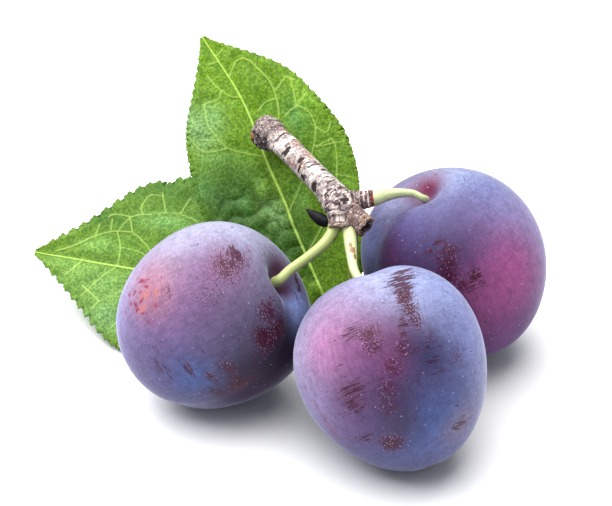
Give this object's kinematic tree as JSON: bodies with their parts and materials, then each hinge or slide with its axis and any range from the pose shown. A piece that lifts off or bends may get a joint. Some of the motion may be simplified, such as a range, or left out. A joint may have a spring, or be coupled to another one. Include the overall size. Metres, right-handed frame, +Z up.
{
  "type": "plum sprig",
  "caption": "Ripe blue plums with a waxy bloom on green stalks, joined to a short woody twig with toothed leaves; lies on a flat surface as picked fruit.",
  "frame": {"origin": "the middle of the bounding box, at the level of the surface that the fruits rest on", "axes": "+Z up; +X from the leaf tips to the far fruit, which is the longest extent; +Y from the foremost fruit to the back"},
  "size_m": [0.1203, 0.1034, 0.0593],
  "materials": {
    "plum_skin": "satin with a waxy bloom",
    "green_stalk": "satin",
    "bark": "matte",
    "bud_scale": "matte",
    "leaf": "satin"
  },
  "bodies": {
    "root": {"plum_left": "plum_skin", "plum_front": "plum_skin", "plum_right": "plum_skin", "stalk_left": "green_stalk", "stalk_front": "green_stalk", "stalk_right": "green_stalk", "twig": "bark", "bud": "bud_scale", "leaf_upper": "leaf", "leaf_lower": "leaf"}
  },
  "joints": []
}
